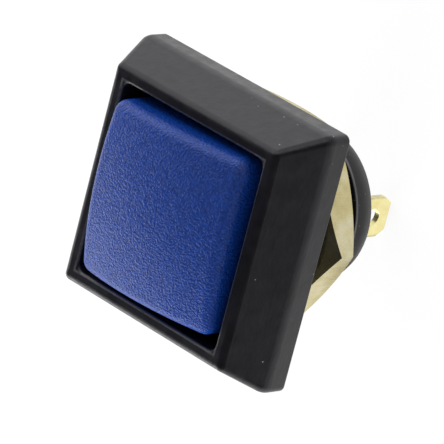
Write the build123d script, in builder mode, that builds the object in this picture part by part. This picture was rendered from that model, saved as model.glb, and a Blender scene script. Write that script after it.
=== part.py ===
"""Sealed momentary pushbutton switch for a round panel hole, with a square bezel and two solder lugs.

Millimetres. The origin is the centre of the bezel's seating face, which lies on the panel, and +Z points
out of the panel, through the button. The two lugs stand either side of the axis, along X.
"""

import os
from math import cos, radians, tan

from build123d import *

# ---------------------------------------------------------------- driving sizes
# Bezel: a square with a straight rim, then a taper up to a narrow lip round the button
bezel_width = 17.6  # across the rim
taper_inset = 1.38  # from the rim in to the front edge, on each side
bezel_height = 4.97
rim_height = 1.65  # the straight part of the side
waist_round = 1.5  # where the rim meets the taper
bezel_corner = 0.5  # radius of the four upright edges at the rim
front_corner = 0.4  # the same at the front
lip_width = 0.9  # from the outer front edge in to the well
lip_outer_round = 0.5
lip_inner_round = 0.25
seat_round = 0.15  # the outer edge of the seating face
well_corner = 0.6
well_floor = 1.6  # height of the well's floor over the seating face

# Bush: threaded outside, then a relief groove and a barrelled tail
thread_radius = 6.0
thread_end = 5.9  # distance behind the seating face, as the next ones
thread_chamfer = 0.35
relief_radius = 5.05
tail_start = 6.7
tail_end = 8.55
tail_radius = 5.45  # at its front edge
tail_back_radius = 5.0
tail_bulge = 4.2  # radius of the curve between the two
tail_chamfer = 0.12

# Button cap: a domed square shell on a central boss
cap_gap = 0.58  # from the well's wall to the cap
cap_crown = 1.87  # height of the dome's top over the bezel's front
dome_radius = 26.3
cap_corner = 0.9
cap_edge_round = 0.8
cap_inner_corner = 0.5
cap_wall = 1.1
roof_thickness = 1.7  # under the dome's top
cap_lean = (1.6, 1.25, 1.5)  # degrees about X, Y and Z: the play that the cap sits with on its stem
skirt_clearance = 0.5  # left under the skirt when the button is down
travel = 1.0

# Plunger: the stem under the cap
stem_radius = 2.5
stem_clearance = 0.04  # running fit in the guide
spigot_radius = 1.8  # in the cap's boss
spigot_length = 1.8
boss_radius = 2.9
boss_length = 2.5  # below the cap's ceiling
guide_length = 2.0
key_width = 0.8
key_height = 0.4
key_length = 0.9
key_clearance = 0.05
foot_length = 0.28  # of the stem below its clip
pin_radius = 0.7  # the slim pin that carries the bridge
head_radius = 1.05
head_height = 0.28

# Return spring, in a round pocket under the cap, on a washer over the shaft seal
pocket_radius = 4.2
pocket_depth = 2.1  # below the well's floor
spring_wire = 0.45
spring_radius = 3.5  # of the coil's centre line
spring_turns = 5
washer_thickness = 0.3
washer_gap = 0.1  # round the washer's rim and round the stem
gland_width = 0.9  # from the stem's side out to the gland's wall; it is as deep

# Retaining clip
clip_groove_radius = 1.9
clip_radius = 3.3
clip_thickness = 0.4
clip_mouth = 3.3
clip_scallop = 0.45

# Contacts, from the stem's foot down
contact_wire = 0.16
contact_coil_radius = 0.95
contact_turns = 4
contact_spring_length = 1.1
bridge_thickness = 0.25
bridge_width = 1.8
bridge_length = 7.0
contact_radius = 0.45
contact_margin = 0.05  # from the contact's edge to the foot's end
tip_height = 0.2
contact_gap = 0.6
closed_gap = 0.02  # kept between the contacts with the button down
pad_height = 0.2

# Terminals
lug_spacing = 5.5  # centre to centre
lug_thickness = 0.4
lug_width = 2.8
lug_length = 3.95  # behind the tail
lug_clip_side = 0.45  # the corners cut off its end, measured across the lug
lug_clip_end = 0.7  # and along it
wire_hole = 1.24
wire_hole_inset = 1.45  # from the lug's end to the hole's centre
foot_reach = 0.52  # of the bent foot, out past the lug
foot_width = 2.0
bend_radius = 0.3  # outside the bend

# Contact base and potting
chamber_radius = 4.3
base_clearance = 0.03
base_wall = 0.55
base_thickness = 1.15
potting_recess = 0.1

# Panel seal and nut
seal_section = 0.5  # radius of the rubber's round section
seal_play = 0.1  # each side of the ring in its groove
seal_groove_depth = 0.6
nut_wall = 1.0  # from the thread out to the middle of a flat
nut_thickness = 2.18
nut_place = 2.4  # from the seating face to the nut's near face
nut_chamfer_angle = 28
nut_clearance = 0.02
nut_countersink = 0.3

seat_gap = 0.02  # between pieces that rest on each other

# ---------------------------------------------------------------- worked-out sizes
bezel_front = bezel_width - 2 * taper_inset
well_width = bezel_front - 2 * lip_width
cap_width = well_width - 2 * cap_gap
pocket_floor = well_floor - pocket_depth
washer_top = pocket_floor + washer_thickness
gland_radius = stem_radius + gland_width
gland_floor = pocket_floor - gland_width
guide_end = gland_floor - guide_length

crown_height = bezel_height + cap_crown
ceiling = crown_height - roof_thickness
skirt_bottom = well_floor + travel + skirt_clearance
boss_bottom = ceiling - boss_length

clip_top = guide_end - seat_gap
clip_bottom = clip_top - clip_thickness
stem_foot = clip_bottom - foot_length
bridge_top = stem_foot - contact_spring_length
bridge_bottom = bridge_top - bridge_thickness
pin_end = bridge_bottom - seat_gap - head_height
tip_bottom = bridge_bottom - tip_height
pad_top = tip_bottom - contact_gap - closed_gap
foot_top = pad_top - pad_height
base_floor = foot_top - lug_thickness
base_back = base_floor - base_thickness
base_radius = chamber_radius - base_clearance

lug_outer = (lug_spacing + lug_thickness) / 2
lug_inner = (lug_spacing - lug_thickness) / 2
lug_end = -tail_end - lug_length
contact_place = lug_outer + foot_reach - contact_radius - contact_margin
bore_radius = stem_radius + stem_clearance
seal_radius = thread_radius + seal_play + seal_section
seal_groove_radius = seal_radius + seal_section + seal_play
nut_flats = 2 * (thread_radius + nut_wall)


def save(builder, name):
    """Label a finished piece and write its STEP file."""
    builder.part.label = name
    export_step(builder.part, f"parts/{name}.step")


def coil(wire_radius, coil_radius, turns, bottom, top):
    """A round-wire coil spring whose wire fills the height from bottom to top."""
    start, height = bottom + wire_radius, top - bottom - 2 * wire_radius
    with BuildPart() as spring:
        with BuildLine() as path:
            Helix(pitch=height / turns, height=height, radius=coil_radius, center=(0, 0, start))
        with BuildSketch(Plane(origin=path.line @ 0, z_dir=path.line % 0)):
            Circle(wire_radius)
        sweep(path=path.line, is_frenet=True)
    return spring


os.makedirs("parts", exist_ok=True)

# ---------------------------------------------------------------- housing
with BuildPart() as housing:
    # the square bezel: straight rim, then the taper
    with BuildSketch():
        RectangleRounded(bezel_width, bezel_width, bezel_corner)
    extrude(amount=rim_height)
    with BuildSketch(Plane.XY.offset(rim_height)):
        RectangleRounded(bezel_width, bezel_width, bezel_corner)
    with BuildSketch(Plane.XY.offset(bezel_height)):
        RectangleRounded(bezel_front, bezel_front, front_corner)
    loft(ruled=True)
    fillet(housing.faces().sort_by(Axis.Z)[0].edges(), radius=seat_round)
    fillet(housing.edges().filter_by_position(Axis.Z, rim_height, rim_height), radius=waist_round)
    # the well that the cap moves in
    with BuildSketch(Plane.XY.offset(bezel_height)):
        RectangleRounded(well_width, well_width, well_corner)
    extrude(amount=well_floor - bezel_height, mode=Mode.SUBTRACT)
    fillet(housing.faces().sort_by(Axis.Z)[-1].outer_wire().edges(), radius=lip_outer_round)
    fillet(housing.faces().sort_by(Axis.Z)[-1].inner_wires()[0].edges(), radius=lip_inner_round)
    # the bush, turned: thread, relief groove and tail
    with BuildSketch(Plane.XZ):
        with BuildLine():
            Polyline(
                (0, 0),
                (thread_radius, 0),
                (thread_radius, thread_chamfer - thread_end),
                (thread_radius - thread_chamfer, -thread_end),
                (relief_radius, -thread_end),
                (relief_radius, -tail_start),
                (tail_radius - tail_chamfer, -tail_start),
                (tail_radius, -tail_start - tail_chamfer),
            )
            RadiusArc((tail_radius, -tail_start - tail_chamfer), (tail_back_radius, -tail_end), tail_bulge)
            Polyline((tail_back_radius, -tail_end), (0, -tail_end), (0, 0))
        make_face()
    revolve(axis=Axis.Z)
    # the stepped bore: spring pocket, seal gland, guide and contact chamber
    with BuildSketch(Plane.XZ):
        with BuildLine():
            Polyline(
                (0, well_floor),
                (pocket_radius, well_floor),
                (pocket_radius, pocket_floor),
                (gland_radius, pocket_floor),
                (gland_radius, gland_floor),
                (bore_radius, gland_floor),
                (bore_radius, guide_end),
                (chamber_radius, guide_end),
                (chamber_radius, -tail_end),
                (0, -tail_end),
                close=True,
            )
        make_face()
    revolve(axis=Axis.Z, mode=Mode.SUBTRACT)
    # the keyway that stops the plunger from turning
    with BuildSketch(Plane.XY.offset(guide_end)):
        with Locations((0, bore_radius)):
            Rectangle(key_width + 2 * key_clearance, 2 * (key_height + key_clearance))
    extrude(amount=key_length + key_clearance, mode=Mode.SUBTRACT)
    # the groove for the panel seal
    with BuildSketch():
        Circle(seal_groove_radius)
        Circle(thread_radius, mode=Mode.SUBTRACT)
    extrude(amount=seal_groove_depth, mode=Mode.SUBTRACT)
save(housing, "housing")

# ---------------------------------------------------------------- button cap
with BuildPart() as button_cap:
    # its outside leans a little, about the middle of the bezel's front
    leaning = Plane.XY.offset(bezel_height).rotated(cap_lean)
    with BuildSketch(leaning.offset(skirt_bottom - bezel_height)):
        RectangleRounded(cap_width, cap_width, cap_corner)
    extrude(amount=crown_height - skirt_bottom)
    with Locations(leaning.offset(cap_crown - dome_radius)):
        Sphere(dome_radius, mode=Mode.INTERSECT)
    dome_edges = button_cap.faces().filter_by(GeomType.SPHERE).edges()
    fillet(dome_edges, radius=cap_edge_round)
    # hollow under the roof, cut square to the stem
    with BuildSketch(Plane.XY.offset(well_floor + travel)):
        RectangleRounded(cap_width - 2 * cap_wall, cap_width - 2 * cap_wall, cap_inner_corner)
    extrude(amount=ceiling - well_floor - travel, mode=Mode.SUBTRACT)
    # the boss that takes the plunger's spigot
    with BuildSketch(Plane.XY.offset(boss_bottom)):
        Circle(boss_radius)
    extrude(amount=boss_length)
    with BuildSketch(Plane.XY.offset(boss_bottom)):
        Circle(spigot_radius + seat_gap)
    extrude(amount=spigot_length + seat_gap, mode=Mode.SUBTRACT)
save(button_cap, "button_cap")

# ---------------------------------------------------------------- plunger
with BuildPart() as plunger:
    with BuildSketch(Plane.XZ):
        with BuildLine():
            Polyline(
                (0, boss_bottom + spigot_length),
                (spigot_radius, boss_bottom + spigot_length),
                (spigot_radius, boss_bottom),
                (stem_radius, boss_bottom),
                (stem_radius, clip_top + seat_gap),
                (clip_groove_radius, clip_top + seat_gap),
                (clip_groove_radius, clip_bottom - seat_gap),
                (stem_radius, clip_bottom - seat_gap),
                (stem_radius, stem_foot),
                (pin_radius, stem_foot),
                (pin_radius, pin_end + head_height),
                (head_radius, pin_end + head_height),
                (head_radius, pin_end),
                (0, pin_end),
                close=True,
            )
        make_face()
    revolve(axis=Axis.Z)
    with BuildSketch(Plane.XY.offset(guide_end + key_clearance)):
        with Locations((0, stem_radius)):
            Rectangle(key_width, 2 * key_height)
    extrude(amount=key_length - key_clearance)
save(plunger, "plunger")

# ---------------------------------------------------------------- spring, washer, seal and clip
return_spring = coil(spring_wire / 2, spring_radius, spring_turns, washer_top, ceiling)
save(return_spring, "return_spring")

with BuildPart() as seal_washer:
    with BuildSketch(Plane.XY.offset(pocket_floor)):
        Circle(pocket_radius - washer_gap)
        Circle(stem_radius + washer_gap, mode=Mode.SUBTRACT)
    extrude(amount=washer_thickness)
save(seal_washer, "seal_washer")

with BuildPart() as shaft_seal:
    gland_middle = (stem_radius + gland_radius) / 2
    section_radius = (gland_radius - stem_radius) / 2 - seat_gap
    with Locations((0, 0, gland_floor + section_radius + seat_gap)):
        Torus(gland_middle, section_radius)
save(shaft_seal, "shaft_seal")

with BuildPart() as retaining_clip:
    with BuildSketch(Plane.XY.offset(clip_bottom)):
        Circle(clip_radius)
        Circle(clip_groove_radius + seat_gap, mode=Mode.SUBTRACT)
        with Locations((0, -clip_radius)):
            Rectangle(clip_mouth, 2 * clip_radius, mode=Mode.SUBTRACT)
        # two scallops leave the three prongs that grip the groove
        with PolarLocations(clip_groove_radius + clip_scallop / 2, 2, start_angle=30, angular_range=120):
            Circle(clip_scallop, mode=Mode.SUBTRACT)
    extrude(amount=clip_thickness)
save(retaining_clip, "retaining_clip")

# ---------------------------------------------------------------- moving bridge
contact_spring = coil(contact_wire / 2, contact_coil_radius, contact_turns, bridge_top, stem_foot)
save(contact_spring, "contact_spring")

with BuildPart() as contact_bridge:
    with BuildSketch(Plane.XY.offset(bridge_bottom)):
        SlotOverall(bridge_length, bridge_width)
        Circle(pin_radius + stem_clearance, mode=Mode.SUBTRACT)
    extrude(amount=bridge_thickness)
save(contact_bridge, "contact_bridge")

# ---------------------------------------------------------------- terminals and their contact faces
with BuildPart() as terminal_right:
    # the flat lug: clipped corners and a hole for the wire
    with BuildSketch(Plane.YZ.offset(lug_inner)):
        with BuildLine():
            half = lug_width / 2
            Polyline(
                (half, foot_top),
                (half, lug_end + lug_clip_end),
                (half - lug_clip_side, lug_end),
                (lug_clip_side - half, lug_end),
                (-half, lug_end + lug_clip_end),
                (-half, foot_top),
                close=True,
            )
        make_face()
        with Locations((0, lug_end + wire_hole_inset)):
            Circle(wire_hole / 2, mode=Mode.SUBTRACT)
    extrude(amount=lug_thickness)
    # its bent foot, on the base's floor
    with BuildSketch(Plane.XY.offset(base_floor)):
        with Locations((lug_outer + foot_reach / 2, 0)):
            Rectangle(foot_reach, foot_width)
    extrude(amount=lug_thickness)
    bend_edge = terminal_right.edges().filter_by(Axis.Y).group_by(Axis.Z)[-1].sort_by(Axis.X)[0]
    fillet(bend_edge, radius=bend_radius)

with BuildPart() as fixed_contact_right:
    with BuildSketch(Plane.XY.offset(foot_top)):
        with Locations((contact_place, 0)):
            Circle(contact_radius)
    extrude(amount=pad_height)
    fillet(fixed_contact_right.edges().group_by(Axis.Z)[-1], radius=pad_height / 2)

with BuildPart() as moving_contact_right:
    with BuildSketch(Plane.XY.offset(bridge_bottom)):
        with Locations((contact_place, 0)):
            Circle(contact_radius)
    extrude(amount=-tip_height)
    fillet(moving_contact_right.edges().group_by(Axis.Z)[0], radius=tip_height / 2)

# the left-hand pieces are the right-hand ones seen in a mirror
for piece, name in (
    (terminal_right, "terminal"),
    (fixed_contact_right, "fixed_contact"),
    (moving_contact_right, "moving_contact"),
):
    with BuildPart() as left_piece:
        mirror(piece.part, about=Plane.YZ)
    save(piece, f"{name}_right")
    save(left_piece, f"{name}_left")

# ---------------------------------------------------------------- contact base and potting
with BuildPart() as contact_base:
    with BuildSketch(Plane.XY.offset(base_back)):
        Circle(base_radius)
    extrude(amount=guide_end - seat_gap - base_back)
    with BuildSketch(Plane.XY.offset(base_floor)):
        Circle(base_radius - base_wall)
    extrude(amount=guide_end - base_floor, mode=Mode.SUBTRACT)
    with BuildSketch(Plane.XY.offset(base_back)):
        with Locations((-lug_spacing / 2, 0), (lug_spacing / 2, 0)):
            Rectangle(lug_thickness + 2 * seat_gap, lug_width + 2 * seat_gap)
    extrude(amount=base_thickness, mode=Mode.SUBTRACT)
save(contact_base, "contact_base")

with BuildPart() as potting:
    with BuildSketch(Plane.XY.offset(potting_recess - tail_end)):
        Circle(chamber_radius - seat_gap)
        with Locations((-lug_spacing / 2, 0), (lug_spacing / 2, 0)):
            Rectangle(lug_thickness, lug_width, mode=Mode.SUBTRACT)
    extrude(amount=base_back + tail_end - potting_recess)
save(potting, "potting")

# ---------------------------------------------------------------- panel seal and nut
with BuildPart() as panel_seal:
    with Locations((0, 0, seal_groove_depth - seat_gap - seal_section)):
        Torus(seal_radius, seal_section)
save(panel_seal, "panel_seal")

with BuildPart() as hex_nut:
    near_face, far_face = -nut_place, -nut_place - nut_thickness
    with BuildSketch(Plane.XY.offset(far_face)):
        RegularPolygon(nut_flats / 2, 6, major_radius=False)
    extrude(amount=nut_thickness)
    # both faces are chamfered back from the flats to the corners
    with BuildSketch(Plane.XZ):
        with BuildLine():
            beyond = nut_flats / cos(radians(30)) / 2 + nut_clearance  # just past the corners
            drop = (beyond - nut_flats / 2) * tan(radians(nut_chamfer_angle))
            Polyline(
                (0, near_face),
                (nut_flats / 2, near_face),
                (beyond, near_face - drop),
                (beyond, far_face + drop),
                (nut_flats / 2, far_face),
                (0, far_face),
                close=True,
            )
        make_face()
    revolve(axis=Axis.Z, mode=Mode.INTERSECT)
    with BuildSketch(Plane.XY.offset(far_face)):
        Circle(thread_radius + nut_clearance)
    extrude(amount=nut_thickness, mode=Mode.SUBTRACT)
    bore_edges = hex_nut.edges().filter_by(GeomType.CIRCLE).filter_by(
        lambda edge: abs(edge.radius - thread_radius - nut_clearance) < nut_clearance
    )
    chamfer(bore_edges, length=nut_countersink)
save(hex_nut, "hex_nut")
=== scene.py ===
# %% [markdown]
# # Dressing a panel-mount pushbutton
# The switch comes in as finished solids: a square black bezel with a threaded bush behind it,
# a domed blue cap, a brass nut and two gold-plated lugs, with the working pieces inside.
# This lesson frames and lights it, cuts the thread, swaps the springs for copies of their meshes,
# and gives each piece its real surface. The solids themselves are never moved or changed.

# %% Load the solids
from math import atan2, cos, hypot, pi, sin

import bpy
from mathutils import Matrix, Vector


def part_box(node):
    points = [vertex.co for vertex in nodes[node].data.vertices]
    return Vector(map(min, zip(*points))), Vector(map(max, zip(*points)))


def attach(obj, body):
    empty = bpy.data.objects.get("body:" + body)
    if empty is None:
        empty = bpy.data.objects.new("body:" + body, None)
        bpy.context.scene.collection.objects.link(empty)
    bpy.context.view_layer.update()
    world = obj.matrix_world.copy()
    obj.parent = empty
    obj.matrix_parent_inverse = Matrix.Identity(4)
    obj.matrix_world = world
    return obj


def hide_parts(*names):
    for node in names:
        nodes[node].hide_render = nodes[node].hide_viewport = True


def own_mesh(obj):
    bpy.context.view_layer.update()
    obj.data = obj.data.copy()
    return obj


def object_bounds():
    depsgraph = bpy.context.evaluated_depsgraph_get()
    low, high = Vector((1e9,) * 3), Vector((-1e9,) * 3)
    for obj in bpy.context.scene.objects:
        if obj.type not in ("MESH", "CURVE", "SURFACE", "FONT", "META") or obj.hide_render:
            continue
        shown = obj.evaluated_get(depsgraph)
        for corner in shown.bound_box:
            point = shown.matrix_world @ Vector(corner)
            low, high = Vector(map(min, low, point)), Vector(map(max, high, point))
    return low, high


MM = 0.001  # Blender works in metres
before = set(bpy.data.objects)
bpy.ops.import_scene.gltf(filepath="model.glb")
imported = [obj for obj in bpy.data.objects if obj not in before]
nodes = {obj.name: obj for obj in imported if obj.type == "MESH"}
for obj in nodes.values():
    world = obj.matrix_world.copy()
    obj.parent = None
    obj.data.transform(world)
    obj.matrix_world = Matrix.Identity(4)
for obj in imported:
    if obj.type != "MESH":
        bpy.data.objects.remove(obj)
solid_box = [list(corner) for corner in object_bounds()]
print("nodes:", ", ".join(sorted(nodes)))
print("box in mm:", [[round(v / MM, 2) for v in corner] for corner in solid_box])

# %% [markdown]
# ## Camera
# The switch is seen from its front corner with a long lens, so its edges run almost parallel.
# A camera can be aimed with a tracking constraint, but here it also leans a little to one side,
# so its three axes are written out and put straight into its matrix.

# %% Camera
to_right = Vector((0.674829, 0.239632, -0.697984))
to_top = Vector((-0.396462, 0.915453, -0.069016))
to_viewer = Vector((0.622434, 0.323298, 0.712780))
camera_place = Vector((0.206701, 0.106577, 0.236505))

camera_data = bpy.data.cameras.new("camera")
camera_data.lens = 422.12
camera_data.sensor_width = 36
camera_data.clip_start = 0.01
camera_data.clip_end = 10
camera = bpy.data.objects.new("camera", camera_data)
camera.matrix_world = Matrix.Translation(camera_place) @ Matrix(
    (to_right, to_top, to_viewer)
).transposed().to_4x4()
bpy.context.scene.collection.objects.link(camera)
bpy.context.scene.camera = camera
print("camera is", round(camera_place.length / MM), "mm from the origin")

# %% [markdown]
# ## Light that depends on the ray
# A small glossy part is usually shot in a light tent: white all round, with the side behind the
# camera left open and dark, so that black plastic shows its form in grey reflections. It could be
# built from boards and lamps, but a shader can do it too: Light Path tells which kind of ray has
# arrived, so that matt surfaces, the camera and mirror images each get what they need. The world
# and the floor both work like this, so their common steps are written once.


# %% Helpers for the world and the floor
def seen_directly(tree):
    """Two switches: for rays from the camera, gloss or clear matter, and for gloss alone."""
    path = tree.nodes.new("ShaderNodeLightPath")
    camera_or_glossy = tree.nodes.new("ShaderNodeMath")
    camera_or_glossy.operation = "MAXIMUM"
    tree.links.new(path.outputs["Is Camera Ray"], camera_or_glossy.inputs[0])
    tree.links.new(path.outputs["Is Glossy Ray"], camera_or_glossy.inputs[1])
    any_of_three = tree.nodes.new("ShaderNodeMath")
    any_of_three.operation = "MAXIMUM"
    tree.links.new(camera_or_glossy.outputs[0], any_of_three.inputs[0])
    tree.links.new(path.outputs["Is Transmission Ray"], any_of_three.inputs[1])
    return any_of_three.outputs[0], path.outputs["Is Glossy Ray"]


def fading(tree, value, dark_end, bright_end, darkest):
    """Strength that grows from darkest to one, as the value goes from one end to the other."""
    scale = tree.nodes.new("ShaderNodeMapRange")
    scale.interpolation_type = "SMOOTHSTEP"
    scale.inputs["From Min"].default_value = dark_end
    scale.inputs["From Max"].default_value = bright_end
    scale.inputs["To Min"].default_value = darkest
    scale.inputs["To Max"].default_value = 1.0
    tree.links.new(value, scale.inputs["Value"])
    return scale.outputs["Result"]


def along(tree, vector, axis):
    """How far a point or direction lies along an axis."""
    product = tree.nodes.new("ShaderNodeVectorMath")
    product.operation = "DOT_PRODUCT"
    product.inputs[1].default_value = axis
    tree.links.new(vector, product.inputs[0])
    return product.outputs["Value"]


def only_in_reflections(tree, strength, is_glossy):
    """Full strength for every ray but a reflected one, which gets the given strength."""
    pick = tree.nodes.new("ShaderNodeMix")
    pick.data_type = "FLOAT"
    pick.inputs["A"].default_value = 1.0
    tree.links.new(is_glossy, pick.inputs["Factor"])
    tree.links.new(strength, pick.inputs["B"])
    return pick.outputs["Result"]


# %% [markdown]
# ## World
# Matt surfaces get an even, moderate light from all round, and the camera sees plain white.
# In reflections the world is white in two places only: low behind the switch, and overhead,
# where a tent would have a white card. Each fades softly into the dark of the open side.

# %% World
TENT_LIGHT = 0.74  # what matt surfaces get
OPEN_SIDE = 0.02  # what is left of the white where the tent is open
BEHIND = (0.15, 0.8)  # the white behind grows between these, along its direction
OVERHEAD = (0.25, 0.6)  # and the card overhead between these

world = bpy.data.worlds.new("tent")
bpy.context.scene.world = world
world.use_nodes = True
tree = world.node_tree
tree.nodes.clear()
direct, is_glossy = seen_directly(tree)
direction = tree.nodes.new("ShaderNodeTexCoord").outputs["Generated"]
lit_from = (-0.85 * to_viewer - 0.5 * to_top).normalized()
from_behind = fading(tree, along(tree, direction, lit_from), *BEHIND, OPEN_SIDE)
from_above = fading(tree, along(tree, direction, to_top), *OVERHEAD, OPEN_SIDE)
mirrored = tree.nodes.new("ShaderNodeMath")
mirrored.operation = "MAXIMUM"
tree.links.new(from_behind, mirrored.inputs[0])
tree.links.new(from_above, mirrored.inputs[1])
tent_light = tree.nodes.new("ShaderNodeBackground")
tent_light.inputs["Color"].default_value = (1, 1, 1, 1)
tent_light.inputs["Strength"].default_value = TENT_LIGHT
tent_white = tree.nodes.new("ShaderNodeBackground")
tent_white.inputs["Color"].default_value = (1, 1, 1, 1)
white_strength = only_in_reflections(tree, mirrored.outputs[0], is_glossy)
tree.links.new(white_strength, tent_white.inputs["Strength"])
tent = tree.nodes.new("ShaderNodeMixShader")
tree.links.new(direct, tent.inputs["Fac"])
tree.links.new(tent_light.outputs[0], tent.inputs[1])
tree.links.new(tent_white.outputs[0], tent.inputs[2])
tree.links.new(tent.outputs[0], tree.nodes.new("ShaderNodeOutputWorld").inputs["Surface"])
world.cycles.sampling_method = "NONE"  # else gloss would also be lit at a matt surface's strength
print("world:", TENT_LIGHT, "of light from all round,", OPEN_SIDE, "mirrored from the open side")

# %% [markdown]
# ## Lamps
# Four soft lamps stand behind the switch, as the camera sees it, and graze it: from below, from
# above, from the upper left and from the lower left. They make the cap's grain and its rounded
# edges stand out against the even light of the tent. They could be spots, but a broad square lamp
# gives the soft shadows of a real softbox. The camera sees none of them, and only the last one
# shows in reflections, where it lays a sheen on the cap's left side.

# %% Lamps
LAMP_DISTANCE = 0.25  # metres from the switch
LAMP_SIZE = 0.2  # metres, each way


def soft_lamp(name, towards, power, in_reflections):
    """A square lamp that stands off the part in one direction and faces it."""
    data = bpy.data.lights.new(name, "AREA")
    data.shape = "SQUARE"
    data.size = LAMP_SIZE
    data.energy = power
    lamp = bpy.data.objects.new(name, data)
    bpy.context.scene.collection.objects.link(lamp)
    towards = towards.normalized()
    lamp.location = towards * LAMP_DISTANCE
    lamp.rotation_euler = towards.to_track_quat("Z", "Y").to_euler()
    lamp.visible_camera = False
    lamp.visible_glossy = in_reflections
    print(name, "stands at", [round(v / MM) for v in lamp.location], "mm with", power, "W")


for name, right, top, viewer, power, in_reflections in (
    ("low_lamp", -0.3, -0.85, -0.3, 1.9, False),
    ("high_lamp", -0.4, 0.85, -0.15, 0.75, False),
    ("back_lamp", -0.6, 0.5, -0.5, 0.7, False),
    ("left_lamp", -0.75, -0.4, -0.85, 0.24, True),
):
    towards = right * to_right + top * to_top + viewer * to_viewer
    soft_lamp(name, towards, power, in_reflections)

# %% [markdown]
# ## Floor
# The floor is a sheet of white paper. Shaded like any paper it would turn out grey in places, so
# most of it is plain white to the camera and the rest is real shading, which keeps the shadow.
# What the black plastic mirrors of it is white under the switch and beyond, and dims towards the
# viewer. A ring round the foot of the bush is dimmed too, as paper is where a bezel shades it.

# %% Floor
FLOOR_REACH = 1.0  # metres each way
AWAY_FROM_VIEWER = (-0.887, -0.461, 0)
DIM_END, DIMMEST = -45 * MM, 0.2  # the mirrored floor, on the viewer's side
RING_RADIUS, RING_HALF_WIDTH, RING_STRENGTH = 9 * MM, 3 * MM, 0.35
WHITE_SHARE = 0.88  # plain white; the rest of the floor is shaded paper

floor_height = solid_box[0][2]
corners = [(x * FLOOR_REACH, y * FLOOR_REACH, 0) for x, y in ((-1, -1), (1, -1), (1, 1), (-1, 1))]
floor_mesh = bpy.data.meshes.new("floor")
floor_mesh.from_pydata(corners, [], [(0, 1, 2, 3)])
floor = bpy.data.objects.new("floor", floor_mesh)
bpy.context.scene.collection.objects.link(floor)
floor.location = (0, 0, floor_height)
print("floor at", round(floor_height / MM, 2), "mm")

# %% [markdown]
# The paper's shader mixes the two looks: Diffuse for the real shading, and Emission for the plain
# white, whose strength in reflections is the product of the two dimmed zones.

# %% White paper
paper = bpy.data.materials.new("white_paper")
paper.use_nodes = True
tree = paper.node_tree
tree.nodes.clear()
direct, is_glossy = seen_directly(tree)
place = tree.nodes.new("ShaderNodeTexCoord").outputs["Object"]
lit_side = fading(tree, along(tree, place, AWAY_FROM_VIEWER), DIM_END, 0.0, DIMMEST)
from_axis = tree.nodes.new("ShaderNodeVectorMath")
from_axis.operation = "LENGTH"
tree.links.new(place, from_axis.inputs[0])
in_ring = tree.nodes.new("ShaderNodeMath")
in_ring.operation = "COMPARE"
in_ring.inputs[1].default_value = RING_RADIUS
in_ring.inputs[2].default_value = RING_HALF_WIDTH
tree.links.new(from_axis.outputs["Value"], in_ring.inputs[0])
out_of_ring = fading(tree, in_ring.outputs["Value"], 1.0, 0.0, RING_STRENGTH)
mirrored = tree.nodes.new("ShaderNodeMath")
mirrored.operation = "MULTIPLY"
tree.links.new(lit_side, mirrored.inputs[0])
tree.links.new(out_of_ring, mirrored.inputs[1])
white_share = tree.nodes.new("ShaderNodeMath")
white_share.operation = "MULTIPLY"
white_share.inputs[1].default_value = WHITE_SHARE
tree.links.new(direct, white_share.inputs[0])
shaded = tree.nodes.new("ShaderNodeBsdfDiffuse")
shaded.inputs["Color"].default_value = (0.9, 0.9, 0.9, 1)
white = tree.nodes.new("ShaderNodeEmission")
white_strength = only_in_reflections(tree, mirrored.outputs[0], is_glossy)
tree.links.new(white_strength, white.inputs["Strength"])
both = tree.nodes.new("ShaderNodeMixShader")
tree.links.new(white_share.outputs[0], both.inputs["Fac"])
tree.links.new(shaded.outputs[0], both.inputs[1])
tree.links.new(white.outputs[0], both.inputs[2])
tree.links.new(both.outputs[0], tree.nodes.new("ShaderNodeOutputMaterial").inputs["Surface"])
paper.cycles.emission_sampling = "NONE"  # the paper isn't a lamp
floor_mesh.materials.append(paper)
print("paper:", WHITE_SHARE, "plain white, with a dimmed ring of", RING_RADIUS / MM, "mm")

# %% [markdown]
# ## The bush's thread
# On the real switch the nut runs on a fine thread moulded on the bush, which the solid leaves
# plain. A bump would do from afar, but a thread shows in the outline, so it is made as a mesh.
# A solid's own mesh isn't changed: a copy of the housing takes its place, without the bush's
# plain wall. The new wall is a grid whose lines follow the thread, four to a turn: the two edges
# of the crest and the two of the root. Where it meets the chamfer at the end, the chamfer wins.

# %% Sizes of the thread
BUSH_RADIUS = 6.0 * MM
WALL_TOP = 0.6 * MM  # inside the groove for the seal
WALL_END = -5.9 * MM
CHAMFER = 0.35 * MM
PITCH = 0.75 * MM
DEPTH = 0.33 * MM
STRIP = 0.02 * MM  # left at each end, to join the grid to the rest
COLUMNS = 96
LINES = ((0, 0), (1 / 8, 0), (7 / 16, 1), (11 / 16, 1))  # (share of a turn, share of the depth)
RUN_OUT = (-0.5 * MM, -1.0 * MM)  # the thread deepens between these heights


def bush_edge(height):
    """Radius of the plain bush, chamfer and all."""
    return min(BUSH_RADIUS, BUSH_RADIUS - CHAMFER + height - WALL_END)


def thread_point(column, line):
    """A point of the grid: columns go round the bush, lines follow the thread."""
    turns, part = divmod(line, len(LINES))
    down, deep = LINES[part]
    height = WALL_TOP + PITCH * (1 - turns - down - column / COLUMNS)
    height = min(max(height, WALL_END + STRIP), WALL_TOP - STRIP)
    fade = min(max((RUN_OUT[0] - height) / (RUN_OUT[0] - RUN_OUT[1]), 0), 1)
    radius = min(bush_edge(height), BUSH_RADIUS - deep * fade * DEPTH)
    angle = 2 * pi * column / COLUMNS
    return Vector((radius * cos(angle), radius * sin(angle), height))


print("thread:", round((RUN_OUT[0] - WALL_END) / PITCH, 1), "turns of", PITCH / MM, "mm")

# %% [markdown]
# The copy is put together face by face, with the normal of each corner kept from the solid, so
# that the flat faces and soft edges of the bezel shade as they did. Points in one place are
# welded, and a face that shrinks to a line is left out.

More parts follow.
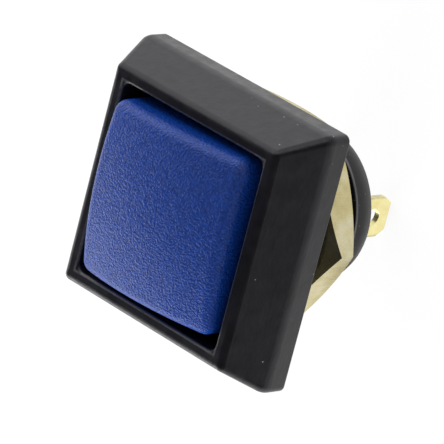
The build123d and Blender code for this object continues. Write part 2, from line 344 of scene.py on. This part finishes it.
# %% Keep all of the housing but the bush's wall
WELD_STEPS = 1e7  # to the metre: points within a tenth of a micrometre become one
NEAR = 0.002 * MM  # how closely a point has to lie on the wall or a ring to belong to it

places, faces, face_normals = {}, [], []


def step(point):
    """A point in whole steps, so that equal places are found again."""
    return tuple(round(v * WELD_STEPS) for v in point)


def add_face(points, normals):
    """Add one face, welding its corners to those already there."""
    corners = []
    for point, normal in zip(points, normals):
        index = places.setdefault(step(point), len(places))
        if all(index != known for known, _ in corners):
            corners.append((index, normal))
    if len(corners) > 2:
        faces.append([index for index, _ in corners])
        face_normals.extend(normal for _, normal in corners)


def on_wall(point):
    """Whether a point of the housing lies on the bush's plain wall or its chamfer."""
    radius = hypot(point.x, point.y)
    return (
        BUSH_RADIUS - CHAMFER - NEAR < radius < BUSH_RADIUS + NEAR
        and WALL_END - NEAR < point.z < WALL_TOP + NEAR
    )


plain = nodes["housing"].data
for polygon in plain.polygons:
    points = [plain.vertices[v].co for v in polygon.vertices]
    if not all(on_wall(point) for point in points):
        normals = [plain.corner_normals[loop].vector.copy() for loop in polygon.loop_indices]
        add_face(points, normals)
kept_faces = len(faces)
print("housing:", kept_faces, "faces kept,", len(plain.polygons) - kept_faces, "left out")

# %% [markdown]
# The new wall follows, patch by patch. Round the bush each band of the thread shades smoothly,
# because neighbouring patches share their normals, and from band to band the edge stays crisp.


# %% The threaded wall
def outward(point):
    """Straight out from the axis."""
    return Vector((point.x, point.y, 0)).normalized()


def band_normal(column, line):
    """Normal of one patch of the grid."""
    a, b = thread_point(column, line), thread_point(column + 1, line)
    c, d = thread_point(column + 1, line + 1), thread_point(column, line + 1)
    return (b - d).cross(a - c).normalized()


def corner_normal(column, line):
    """Normal between two neighbouring patches of one band."""
    both_sides = band_normal(column - 1, line) + band_normal(column, line)
    patches_vanish = both_sides.length <= 0.1
    return outward(thread_point(column, line)) if patches_vanish else both_sides.normalized()


line_count = len(LINES) * (2 + int((WALL_TOP - WALL_END) / PITCH))
for line in range(line_count):
    for column in range(COLUMNS):
        left, right = corner_normal(column, line), corner_normal(column + 1, line)
        patch = [
            thread_point(column, line),
            thread_point(column, line + 1),
            thread_point(column + 1, line + 1),
            thread_point(column + 1, line),
        ]
        add_face(patch, [left, left, right, right])
print("thread:", len(faces) - kept_faces, "faces")

# %% [markdown]
# A thin strip is left at each end, between the grid's last ring and the edge where the plain wall
# was. The two rings don't have the same number of points, so the strip is closed with triangles
# that step along whichever ring is behind. Then the piece rides on the switch's body.


# %% Close the ends and put the threaded housing together
def ring(radius, height):
    """The housing's points round one edge of its missing wall, in order."""
    found = {}
    for vertex in plain.vertices:
        x, y, z = vertex.co
        if abs(hypot(x, y) - radius) < NEAR and abs(z - height) < NEAR:
            found[step(vertex.co)] = vertex.co.copy()
    return sorted(found.values(), key=lambda point: atan2(point.y, point.x) % (2 * pi))


def stitch(upper, lower):
    """Close the strip between two rings that don't have the same number of points."""
    high = low = 0
    while high < len(upper) or low < len(lower):
        top, bottom = upper[high % len(upper)], lower[low % len(lower)]
        if high < len(upper) and (low == len(lower) or high * len(lower) <= low * len(upper)):
            high += 1
            corner = upper[high % len(upper)]
        else:
            low += 1
            corner = lower[low % len(lower)]
        points = [top, bottom, corner]
        add_face(points, [outward(point) for point in points])


top_ring = [thread_point(column, 0) for column in range(COLUMNS)]
end_ring = [thread_point(column, line_count) for column in range(COLUMNS)]
stitch(ring(BUSH_RADIUS, WALL_TOP), top_ring)
stitch(end_ring, ring(BUSH_RADIUS - CHAMFER, WALL_END))

threaded_mesh = bpy.data.meshes.new("threaded_housing")
threaded_mesh.from_pydata([[v / WELD_STEPS for v in place] for place in places], [], faces)
threaded_mesh.shade_smooth()
threaded_mesh.normals_split_custom_set(face_normals)
threaded_housing = bpy.data.objects.new("threaded_housing", threaded_mesh)
bpy.context.scene.collection.objects.link(threaded_housing)
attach(threaded_housing, "body")
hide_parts("housing")
print("threaded housing:", len(faces), "faces on", len(places), "points")

# %% [markdown]
# ## The springs
# Two coil springs work inside. The return spring stands in the housing and is pressed by the cap;
# the contact spring hangs on the stem and presses the bridge, which travels less than the button
# does. A solid spring keeps its length and would cut into what presses it. Each spring is swapped
# for a copy of its mesh, which rides on the body it belongs to; the copy keeps the solid's length.


def closing_spring(name, node, body):
    """A copy of a coil's mesh that rides on the given body, in place of the solid coil."""
    spring = bpy.data.objects.new(name, nodes[node].data.copy())
    bpy.context.scene.collection.objects.link(spring)
    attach(spring, body)
    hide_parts(node)
    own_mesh(spring)


closing_spring("wound_return_spring", "return_spring", "body")
closing_spring(
    "wound_contact_spring", "contact_spring", "button"
)

# %% [markdown]
# ## Finishes
# Each finish is a small graph of nodes on the Principled shader, so it needs no image and no
# unwrapping. Object coordinates are in metres, so a texture's scale is its number of cells to
# the metre: 7500 gives a grain of about an eighth of a millimetre. Noise is the start of nearly
# all of them, because no real surface is even. Squeezed along one axis, it turns into streaks.


# %% A new finish, and noise for it
def finish(name, roughness, metallic=0.0, ior=1.5):
    """A new material on a Principled shader, with its object coordinates at hand."""
    material = bpy.data.materials.new(name)
    material.use_nodes = True
    graph = material.node_tree
    shader = graph.nodes["Principled BSDF"]
    shader.inputs["Roughness"].default_value = roughness
    shader.inputs["Metallic"].default_value = metallic
    shader.inputs["IOR"].default_value = ior
    where = graph.nodes.new("ShaderNodeTexCoord")
    return material, graph, shader, where.outputs["Object"]


def noise(graph, where, scale, detail=3.0, roughness=0.5):
    """Cloudy variation, as values around one half."""
    node = graph.nodes.new("ShaderNodeTexNoise")
    node.inputs["Scale"].default_value = scale
    node.inputs["Detail"].default_value = detail
    node.inputs["Roughness"].default_value = roughness
    graph.links.new(where, node.inputs["Vector"])
    return node.outputs["Fac"]


def stretched(graph, where, scale):
    """The same coordinates, scaled differently along each axis."""
    node = graph.nodes.new("ShaderNodeMapping")
    node.inputs["Scale"].default_value = scale
    graph.links.new(where, node.inputs["Vector"])
    return node.outputs["Vector"]


# %% [markdown]
# Noise becomes colour through a ramp, and roughness through a range. A second colour is laid over
# the first with a mix, as far as some value says.


# %% From noise to colour and roughness
NOISE_SPAN = (0.35, 0.65)  # nearly all noise lies in here
RANGE_SOCKETS = ("From Min", "From Max", "To Min", "To Max")


def ramp(graph, value, stops):
    """Turns a value into a colour, from (position, colour) stops."""
    node = graph.nodes.new("ShaderNodeValToRGB")
    for i, (position, colour) in enumerate(stops):
        stop = node.color_ramp.elements[i] if i < 2 else node.color_ramp.elements.new(position)
        stop.position = position
        stop.color = (*colour, 1)
    graph.links.new(value, node.inputs["Fac"])
    return node.outputs["Color"]


def shades(graph, value, dark, pale):
    """Noise as a drift between two colours."""
    return ramp(graph, value, [(0.3, dark), (0.7, pale)])


def ranged(graph, value, start, end, low, high):
    """Moves a value smoothly from low to high while it goes from start to end."""
    node = graph.nodes.new("ShaderNodeMapRange")
    node.interpolation_type = "SMOOTHSTEP"
    for socket, number in zip(RANGE_SOCKETS, (start, end, low, high)):
        node.inputs[socket].default_value = number
    graph.links.new(value, node.inputs["Value"])
    return node.outputs["Result"]


def drifting(graph, value, low, high):
    """Noise as a number that drifts between two others."""
    return ranged(graph, value, *NOISE_SPAN, low, high)


def tinted(graph, share, colour, tint):
    """A colour with some of another laid over it."""
    node = graph.nodes.new("ShaderNodeMix")
    node.data_type = "RGBA"
    graph.links.new(share, node.inputs["Factor"])
    graph.links.new(colour, node.inputs["A"])
    node.inputs["B"].default_value = (*tint, 1)
    return node.outputs["Result"]


# %% [markdown]
# Some finishes change from place to place, such as at an edge or on the tail. Such a place is
# picked out with arithmetic on the coordinates.


# %% Picking out places
def sums(graph, operation, *values):
    """One step of arithmetic on values or plain numbers."""
    node = graph.nodes.new("ShaderNodeMath")
    node.operation = operation
    for socket, value in zip(node.inputs, values):
        if isinstance(value, (int, float)):
            socket.default_value = value
        else:
            graph.links.new(value, socket)
    return node.outputs["Value"]


def between(graph, value, start, end, blur):
    """One where a value lies between two limits, and nothing elsewhere."""
    rising = ranged(graph, value, start - blur, start + blur, 0, 1)
    falling = ranged(graph, value, end - blur, end + blur, 1, 0)
    return sums(graph, "MULTIPLY", rising, falling)


def axes(graph, where):
    """The three coordinates, each by itself."""
    node = graph.nodes.new("ShaderNodeSeparateXYZ")
    graph.links.new(where, node.inputs[0])
    return node.outputs


def far_from(graph, one, other):
    """Distance from an axis, out of the distances along two directions."""
    squares = sums(graph, "MULTIPLY", one, one), sums(graph, "MULTIPLY", other, other)
    return sums(graph, "SQRT", sums(graph, "ADD", *squares))


# %% [markdown]
# Dust and bubbles come as sparse round specks, from the distance to the nearest of scattered
# points. Relief too shallow to show in an outline is left to a Bump node, which only tilts the
# light. Last, a finish goes onto its pieces by name.


# %% Specks, relief and wearing a finish
def specks(graph, where, cells, radius):
    """Sparse round specks: one at most in each cell, where the surface passes its middle."""
    node = graph.nodes.new("ShaderNodeTexVoronoi")
    node.inputs["Scale"].default_value = cells
    graph.links.new(where, node.inputs["Vector"])
    return ranged(graph, node.outputs["Distance"], radius * 0.6, radius, 1, 0)


def relief(graph, shader, height, depth_mm, under=None):
    """Bumps as deep as depth_mm, over any bumps already made."""
    node = graph.nodes.new("ShaderNodeBump")
    node.inputs["Distance"].default_value = depth_mm * MM
    graph.links.new(height, node.inputs["Height"])
    if under is not None:
        graph.links.new(under, node.inputs["Normal"])
    graph.links.new(node.outputs["Normal"], shader.inputs["Normal"])
    return node.outputs["Normal"]


def wear(material, *names):
    """Give a finish to pieces, by name."""
    for name in names:
        piece = nodes[name] if name in nodes else bpy.data.objects[name]
        piece.data.materials.clear()
        piece.data.materials.append(material)
    print(material.name, "on", ", ".join(names))


# %% [markdown]
# ## Black moulding
# The housing is one black moulding. Its colour carries two painted highlights: a paler band on the
# corner where the bezel turns into its opening, and a pale line on the front edge of the round tail
# behind the thread. Dust clings here and there, most of it to the tail. These places are picked out
# by their distance from the axis and their height.

# %% Colour of the black moulding
TAIL_FRONT = (-6.6 * MM, -6.7 * MM)  # the tail starts between these heights
# Heights of the painted highlight line on the tail's front edge.
TAIL_HIGHLIGHT_LINE = (-6.82 * MM, -6.74 * MM)
OPENING_EDGE = (6.56 * MM, 6.72 * MM)  # half the opening's width, where its edge gets a painted highlight
LIP_TOP = (4.6 * MM, 4.75 * MM)

black, graph, shader, where = finish("black_moulding", 0.34, ior=1.58)
x, y, z = axes(graph, where)
across = sums(graph, "MAXIMUM", sums(graph, "ABSOLUTE", x), sums(graph, "ABSOLUTE", y))
tail = ranged(graph, z, *TAIL_FRONT, 0, 1)
at_edge = between(graph, across, *OPENING_EDGE, 0.04 * MM)
inner_edge = sums(graph, "MULTIPLY", at_edge, ranged(graph, z, *LIP_TOP, 0, 1))
tail_edge_highlight = between(graph, z, *TAIL_HIGHLIGHT_LINE, 0.02 * MM)
tail_dust = sums(graph, "MULTIPLY", tail, specks(graph, where, 2300, 0.085))
dust = sums(graph, "MAXIMUM", specks(graph, where, 800, 0.045), tail_dust)

colour = shades(graph, noise(graph, where, 900), (0.0045, 0.0045, 0.007), (0.009, 0.009, 0.013))
# Painted highlight: the opening's inner edge is tinted paler, as where light catches its rounding.
painted_lip_highlight = sums(graph, "MULTIPLY", inner_edge, noise(graph, where, 5200, detail=2))
colour = tinted(graph, painted_lip_highlight, colour, (0.07, 0.07, 0.075))
# Painted highlight: a pale line along the tail's front edge.
colour = tinted(graph, sums(graph, "MULTIPLY", tail_edge_highlight, 0.7), colour, (0.25, 0.25, 0.25))
colour = tinted(graph, sums(graph, "MULTIPLY", dust, 0.7), colour, (0.35, 0.35, 0.34))
graph.links.new(colour, shader.inputs["Base Color"])
# Prints where the painted highlights lie.
print("painted edge highlight", OPENING_EDGE[0] / MM, "mm from the axis, painted highlight line at", TAIL_HIGHLIGHT_LINE[0] / MM, "mm")

# %% [markdown]
# Its faces are nearly smooth and reflect softly, a little unevenly, because plastic shrinks in
# the mould. Two sizes of shallow relief and a drifting roughness do that, and the tail is duller.

# %% Gloss and relief of the black moulding
TAIL_ROUGHNESS = 0.46

gloss = drifting(graph, noise(graph, where, 1500, detail=4), 0.29, 0.38)
tail_gloss = sums(graph, "MULTIPLY", tail, TAIL_ROUGHNESS)
graph.links.new(sums(graph, "MAXIMUM", gloss, tail_gloss), shader.inputs["Roughness"])
peel = noise(graph, stretched(graph, where, (1, 0.5, 1)), 2600, detail=4, roughness=0.6)
skin = relief(graph, shader, peel, 0.014)
relief(graph, shader, noise(graph, where, 420, detail=2), 0.008, under=skin)
wear(black, "housing", "threaded_housing")

# %% [markdown]
# ## Blue cap
# The cap has a spark-eroded grain: fine, deep and uneven, so that light from the side shows it as a
# scatter of bright and dark points. It could be displaced in the mesh, but a grain this fine would
# need millions of faces, so it is a bump. Its colour also carries painted shade and light: the same
# noise makes the pits a little darker and the peaks paler. A second, broader relief keeps the dome
# from looking machined.

# %% Blue cap
GRAIN = 6800  # cells to the metre
# Painted shade in the pits and painted light on the peaks, then the cap's own blue.
SHADED_PIT_BLUE, CAP_BLUE, LIT_PEAK_BLUE = (0.0012, 0.018, 0.13), (0.0022, 0.028, 0.19), (0.005, 0.042, 0.255)

blue, graph, shader, where = finish("grained_blue", 0.4)
grain = noise(graph, where, GRAIN, detail=2)
# Painted shade and light: the colour follows the grain's relief, darker in the pits and paler on
# the peaks.
colour = ramp(graph, grain, [(0.32, SHADED_PIT_BLUE), (0.5, CAP_BLUE), (0.68, LIT_PEAK_BLUE)])
graph.links.new(colour, shader.inputs["Base Color"])
gloss = drifting(graph, noise(graph, where, 2500), 0.28, 0.35)
graph.links.new(gloss, shader.inputs["Roughness"])
pits = relief(graph, shader, grain, 0.1)
relief(graph, shader, noise(graph, where, 2000, detail=1), 0.015, under=pits)
wear(blue, "button_cap")

# %% [markdown]
# ## Brass nut
# The nut is sawn from drawn hexagon bar, so its flats carry fine drawing lines along its axis,
# and its two faces carry the rings of the tool that parted it off. The lines come from noise
# squeezed across the axis, the rings from the distance to the axis. Brass that has been handled
# tarnishes unevenly, so the colour drifts between olive and pale gold.

# %% Colour of the brass
OLIVE, BRASS_GOLD, PALE_BRASS = (0.50, 0.42, 0.19), (0.66, 0.58, 0.30), (0.80, 0.74, 0.50)

brass, graph, shader, where = finish("drawn_brass", 0.28, metallic=1.0)
x, y, z = axes(graph, where)
lines = noise(graph, stretched(graph, where, (9000, 9000, 350)), 1.0, detail=4)
tarnish = noise(graph, where, 420, detail=4, roughness=0.6)
tone = sums(
    graph, "ADD", sums(graph, "MULTIPLY", tarnish, 0.7), sums(graph, "MULTIPLY", lines, 0.3)
)
colour = ramp(graph, tone, [(0.35, OLIVE), (0.5, BRASS_GOLD), (0.65, PALE_BRASS)])
graph.links.new(colour, shader.inputs["Base Color"])
print("brass drifts between", OLIVE, "and", PALE_BRASS)

# %% [markdown]
# The two faces are told from the flats by their normal. They get the rings and are duller, and
# the flats keep the drawing lines.

# %% Tool marks on the brass
RING_SPACING = 0.09 * MM
FACE_ROUGHNESS = 0.5

facing = axes(graph, graph.nodes["Texture Coordinate"].outputs["Normal"])[2]
parted = ranged(graph, sums(graph, "ABSOLUTE", facing), 0.8, 0.95, 0, 1)
turns = sums(graph, "MULTIPLY", far_from(graph, x, y), 2 * pi / RING_SPACING)
rings = sums(graph, "MULTIPLY", sums(graph, "SINE", turns), parted)
drawn = sums(graph, "MULTIPLY", lines, sums(graph, "SUBTRACT", 1.0, parted))
cut = relief(graph, shader, rings, 0.0012)
relief(graph, shader, drawn, 0.012, under=cut)
satin = drifting(graph, lines, 0.22, 0.34)
dull = sums(graph, "MULTIPLY", parted, FACE_ROUGHNESS)
graph.links.new(sums(graph, "MAXIMUM", satin, dull), shader.inputs["Roughness"])
wear(brass, "hex_nut", "contact_bridge")

# %% [markdown]
# ## Gold-plated lugs
# The solder lugs are stamped strip with a thin, pale gold plate. Plate is smooth and bright on
# the flats and wears at the stamped edges, where the darker metal shows: that edge is found
# from the lug's own box, and broken up with noise so that it doesn't look painted. The wall of
# the hole is rough, as punched metal is.

# %% Gold-plated lugs
HOLE_ABOVE_TIP = 1.45 * MM  # height of the wire hole's middle
HOLE_WALL = (0.55 * MM, 0.7 * MM)  # the wall's roughness ends between these distances
WALL_ROUGHNESS = 0.65
EDGE_SHARE = 0.86  # the worn edge starts here, as a share of the half width

lug_low, lug_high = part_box("terminal_right")
lug_half_width = (lug_high[1] - lug_low[1]) / 2
gold, graph, shader, where = finish("pale_gold", 0.16, metallic=1.0)
x, y, z = axes(graph, where)
wisps = noise(graph, where, 2600, detail=4)
to_edge = ranged(
    graph, sums(graph, "ABSOLUTE", y), lug_half_width * EDGE_SHARE, lug_half_width, 0, 1
)
colour = shades(graph, noise(graph, where, 1200), (0.88, 0.77, 0.34), (0.97, 0.89, 0.46))
colour = tinted(graph, sums(graph, "MULTIPLY", to_edge, wisps), colour, (0.36, 0.30, 0.16))
graph.links.new(colour, shader.inputs["Base Color"])
from_hole = far_from(graph, y, sums(graph, "SUBTRACT", z, lug_low[2] + HOLE_ABOVE_TIP))
punched = ranged(graph, from_hole, *HOLE_WALL, WALL_ROUGHNESS, 0)
smooth = drifting(graph, wisps, 0.1, 0.26)
graph.links.new(sums(graph, "MAXIMUM", smooth, punched), shader.inputs["Roughness"])
rolled = relief(graph, shader, noise(graph, stretched(graph, where, (7000, 7000, 500)), 1.0), 0.004)
relief(graph, shader, noise(graph, where, 800), 0.012, under=rolled)
wear(gold, "terminal_left", "terminal_right")
print("lug box in mm:", [[round(v / MM, 2) for v in corner] for corner in (lug_low, lug_high)])

# %% [markdown]
# ## Springs and small steel
# The springs are drawn wire and the clip and washer are stamped sheet, all in the same pale
# steel. Wire keeps the die's fine scratches along its length, and sheet its rolling texture;
# at this size a fine mottled roughness stands for both.

# %% Springs and small steel
steel, graph, shader, where = finish("drawn_steel", 0.25, metallic=1.0)
mottle = noise(graph, where, 5200, detail=4)
colour = shades(graph, noise(graph, where, 2000), (0.48, 0.48, 0.49), (0.62, 0.62, 0.63))
graph.links.new(colour, shader.inputs["Base Color"])
graph.links.new(drifting(graph, mottle, 0.18, 0.34), shader.inputs["Roughness"])
relief(graph, shader, mottle, 0.003)
wear(steel, "return_spring", "wound_return_spring", "contact_spring", "wound_contact_spring")
wear(steel, "retaining_clip", "seal_washer")

# %% [markdown]
# ## Silver contacts
# Contact rivets are soft silver, bright when new and dulled to brown-grey in small spots where
# they have arced. The spots are the same sparse specks as the dust, only larger and darker.

# %% Silver contacts
silver, graph, shader, where = finish("rivet_silver", 0.15, metallic=1.0)
bloom = noise(graph, where, 3000, detail=4)
burns = specks(graph, where, 2600, 0.3)
colour = shades(graph, bloom, (0.78, 0.76, 0.72), (0.90, 0.89, 0.87))
colour = tinted(graph, sums(graph, "MULTIPLY", burns, 0.6), colour, (0.2, 0.17, 0.14))
graph.links.new(colour, shader.inputs["Base Color"])
graph.links.new(drifting(graph, bloom, 0.12, 0.24), shader.inputs["Roughness"])
relief(graph, shader, noise(graph, where, 9000), 0.001)
wear(silver, "fixed_contact_left", "fixed_contact_right")
wear(silver, "moving_contact_left", "moving_contact_right")

# %% [markdown]
# ## Stem
# The stem is moulded in natural acetal, an off-white, waxy plastic that lets a little light in.
# Real scattering would cost time for a piece that mostly hides, so a slow drift of shade and
# gloss stands for the waxy look.

# %% Stem
stem, graph, shader, where = finish("waxy_acetal", 0.4)
wax = noise(graph, where, 1500, detail=4)
colour = shades(graph, wax, (0.56, 0.55, 0.50), (0.66, 0.65, 0.60))
graph.links.new(colour, shader.inputs["Base Color"])
graph.links.new(drifting(graph, wax, 0.34, 0.46), shader.inputs["Roughness"])
relief(graph, shader, noise(graph, where, 5000), 0.004)
wear(stem, "plunger")

# %% [markdown]
# ## Rubber seals
# Both seals are moulded nitrile rubber: nearly black, matt, with a bloom of paler powder that
# rubs off unevenly.

# %% Rubber seals
rubber, graph, shader, where = finish("nitrile_rubber", 0.7)
powder = noise(graph, where, 1500, detail=5, roughness=0.65)
colour = shades(graph, powder, (0.010, 0.010, 0.010), (0.024, 0.024, 0.024))
graph.links.new(colour, shader.inputs["Base Color"])
graph.links.new(drifting(graph, powder, 0.62, 0.8), shader.inputs["Roughness"])
relief(graph, shader, noise(graph, where, 5000), 0.006)
wear(rubber, "shaft_seal", "panel_seal")

# %% [markdown]
# ## Contact base
# The base that holds the contacts is a hard, filled thermoset. Its filler shows as a fine,
# slightly browner mottle, and its surface is matt.

# %% Contact base
base, graph, shader, where = finish("base_thermoset", 0.5)
filler = noise(graph, where, 3800, detail=4, roughness=0.65)
colour = shades(graph, filler, (0.014, 0.013, 0.012), (0.034, 0.031, 0.027))
graph.links.new(colour, shader.inputs["Base Color"])
graph.links.new(drifting(graph, filler, 0.42, 0.58), shader.inputs["Roughness"])
relief(graph, shader, filler, 0.005)
wear(base, "contact_base")

# %% [markdown]
# ## Potting
# The tail is sealed with poured resin. It sets glossy and slightly wavy, and keeps a few tiny
# bubbles, made here as specks that sink in.

# %% Potting
resin, graph, shader, where = finish("poured_resin", 0.12, ior=1.55)
flow = noise(graph, where, 800)
colour = shades(graph, flow, (0.008, 0.008, 0.009), (0.016, 0.016, 0.017))
graph.links.new(colour, shader.inputs["Base Color"])
graph.links.new(drifting(graph, flow, 0.08, 0.2), shader.inputs["Roughness"])
bubbles = specks(graph, where, 1600, 0.12)
sunk = relief(graph, shader, sums(graph, "SUBTRACT", 1.0, bubbles), 0.03)
relief(graph, shader, noise(graph, where, 700), 0.03, under=sunk)
wear(resin, "potting")

# %% [markdown]
# ## Colour management
# The Standard view shows each colour as it was written.

# %% Colour management
bpy.context.scene.view_settings.view_transform = "Standard"
